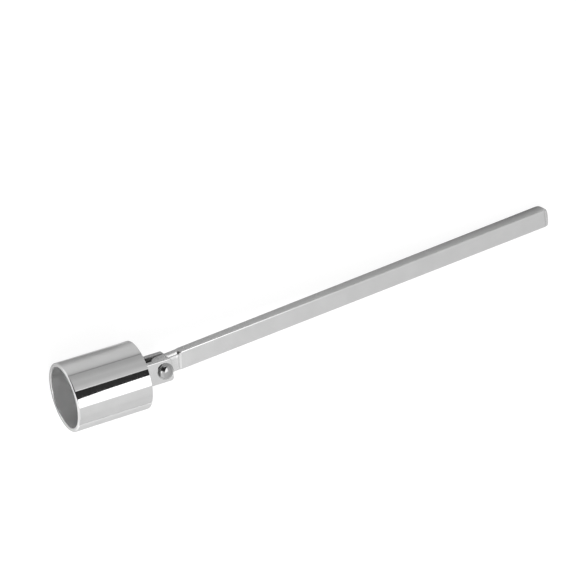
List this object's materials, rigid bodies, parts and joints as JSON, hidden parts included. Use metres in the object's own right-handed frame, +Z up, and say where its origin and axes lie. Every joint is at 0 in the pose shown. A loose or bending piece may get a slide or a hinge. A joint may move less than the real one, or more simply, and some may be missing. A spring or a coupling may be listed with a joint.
{
  "type": "candle snuffer",
  "caption": "Polished metal candle snuffer: an open-mouthed tube cup riveted between hinge ears to a long bar handle that thickens towards its rounded end, so the cup can swing.",
  "frame": {"origin": "on the table, under the middle of the whole snuffer's box", "axes": "+Z up, +X along the handle towards its far end, the cup's mouth faces -X; the snuffer lies on its side with the hinge pin nearly upright, on the cup's back rim and the handle's far end"},
  "size_m": [0.2028, 0.027, 0.0265],
  "materials": {
    "cup_steel": "mirror polished outside, satin inside",
    "end_plate_steel": "satin",
    "ear_steel": "polished",
    "rivet_steel": "mirror polished",
    "handle_steel": "polished"
  },
  "bodies": {
    "handle": {"handle": "handle_steel"},
    "head": {"cup_tube": "cup_steel", "cup_end_plate": "end_plate_steel", "near_ear": "ear_steel", "far_ear": "ear_steel", "hinge_rivet": "rivet_steel"}
  },
  "joints": [
    {"name": "head_pivot", "type": "hinge", "parent": "handle", "child": "head", "pos_m": [-0.063, -0.00173, 0.01196], "axis": [0.0549, 0, 0.9985], "range_deg": [-103.7, 112.3]}
  ]
}
